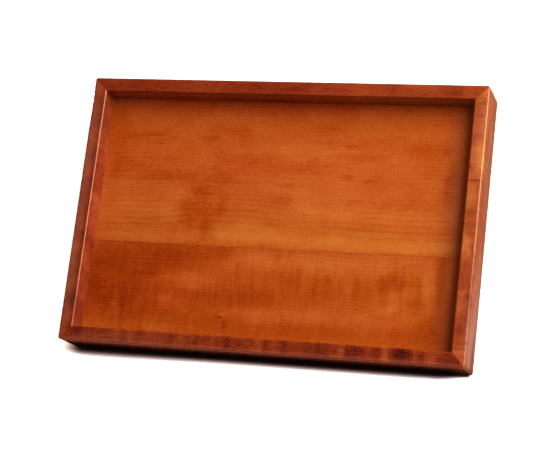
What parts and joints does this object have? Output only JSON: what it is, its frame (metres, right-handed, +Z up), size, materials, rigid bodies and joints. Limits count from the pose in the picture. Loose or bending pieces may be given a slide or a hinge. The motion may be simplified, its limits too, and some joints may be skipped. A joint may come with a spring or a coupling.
{
  "type": "wooden tray",
  "caption": "Rectangular wooden serving tray: mitred rails round a recessed, edge-glued floor that floats in a groove, on small felt pads.",
  "frame": {"origin": "on the table, under the middle of the tray", "axes": "+X along the long rails, +Y from the front rail to the back rail, +Z up out of the open well"},
  "size_m": [0.457, 0.305, 0.052],
  "materials": {
    "rail_wood": "satin lacquer over a red-brown stain",
    "wide_board_wood": "satin lacquer over an orange-brown stain",
    "narrow_board_wood": "satin lacquer over an orange-brown stain",
    "hidden_wood": "bare, sawn",
    "pad_felt": "pressed felt"
  },
  "bodies": {
    "root": {"front_rail": "rail_wood", "back_rail": "rail_wood", "left_rail": "rail_wood", "right_rail": "rail_wood", "wide_floor_board": "wide_board_wood", "narrow_floor_board": "narrow_board_wood", "floor_loose_tongue": "hidden_wood", "mitre_spline_front_left": "hidden_wood", "mitre_spline_front_right": "hidden_wood", "mitre_spline_back_left": "hidden_wood", "mitre_spline_back_right": "hidden_wood", "felt_pad_front_left": "pad_felt", "felt_pad_front_right": "pad_felt", "felt_pad_back_left": "pad_felt", "felt_pad_back_right": "pad_felt"}
  },
  "joints": []
}
